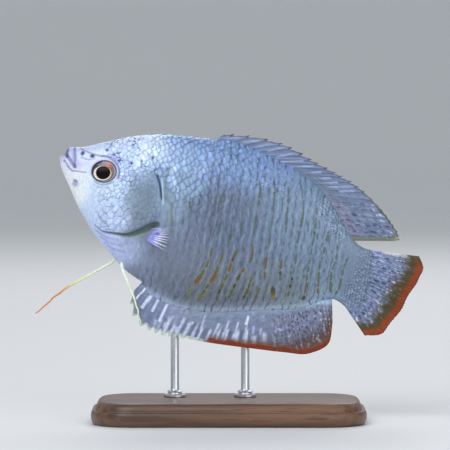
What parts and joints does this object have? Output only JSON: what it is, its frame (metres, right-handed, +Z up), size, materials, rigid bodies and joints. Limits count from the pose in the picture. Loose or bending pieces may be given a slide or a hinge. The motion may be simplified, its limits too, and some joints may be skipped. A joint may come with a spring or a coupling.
{
  "type": "dwarf gourami model",
  "caption": "Life-size still model of a dwarf gourami swimming nose up, held by rods over a flat wooden display base.",
  "frame": {"origin": "centre of the underside of the display base", "axes": "+Z up, -X towards the fish's snout, -Y towards the fish's left side"},
  "size_m": [0.083, 0.03, 0.061],
  "materials": {
    "skin": "pale powder-blue scaled skin with a metallic sheen",
    "jaw": "pale lavender skin, glossy",
    "gill_cover": "sky-blue scaled skin with a metallic sheen",
    "fin": "lilac-blue membrane with pale rays and a rust-red border",
    "feeler": "white at the root, yellow to orange at the tip",
    "eye": "black pupil, cream ring and grey-brown iris under a clear cornea",
    "wood": "dark stained wood, satin",
    "steel": "satin steel"
  },
  "bodies": {
    "root": {"head": "skin", "lower_jaw": "jaw", "torso": "skin", "tail_stem": "skin", "gill_cover_left": "gill_cover", "gill_cover_right": "gill_cover", "eye_left": "eye", "eye_right": "eye", "dorsal_fin": "fin", "anal_fin": "fin", "caudal_fin": "fin", "pectoral_fin_left": "fin", "pectoral_fin_right": "fin", "pelvic_feeler_left": "feeler", "pelvic_feeler_right": "feeler", "stand_base": "wood", "stand_rod_front": "steel", "stand_rod_rear": "steel"}
  },
  "joints": []
}
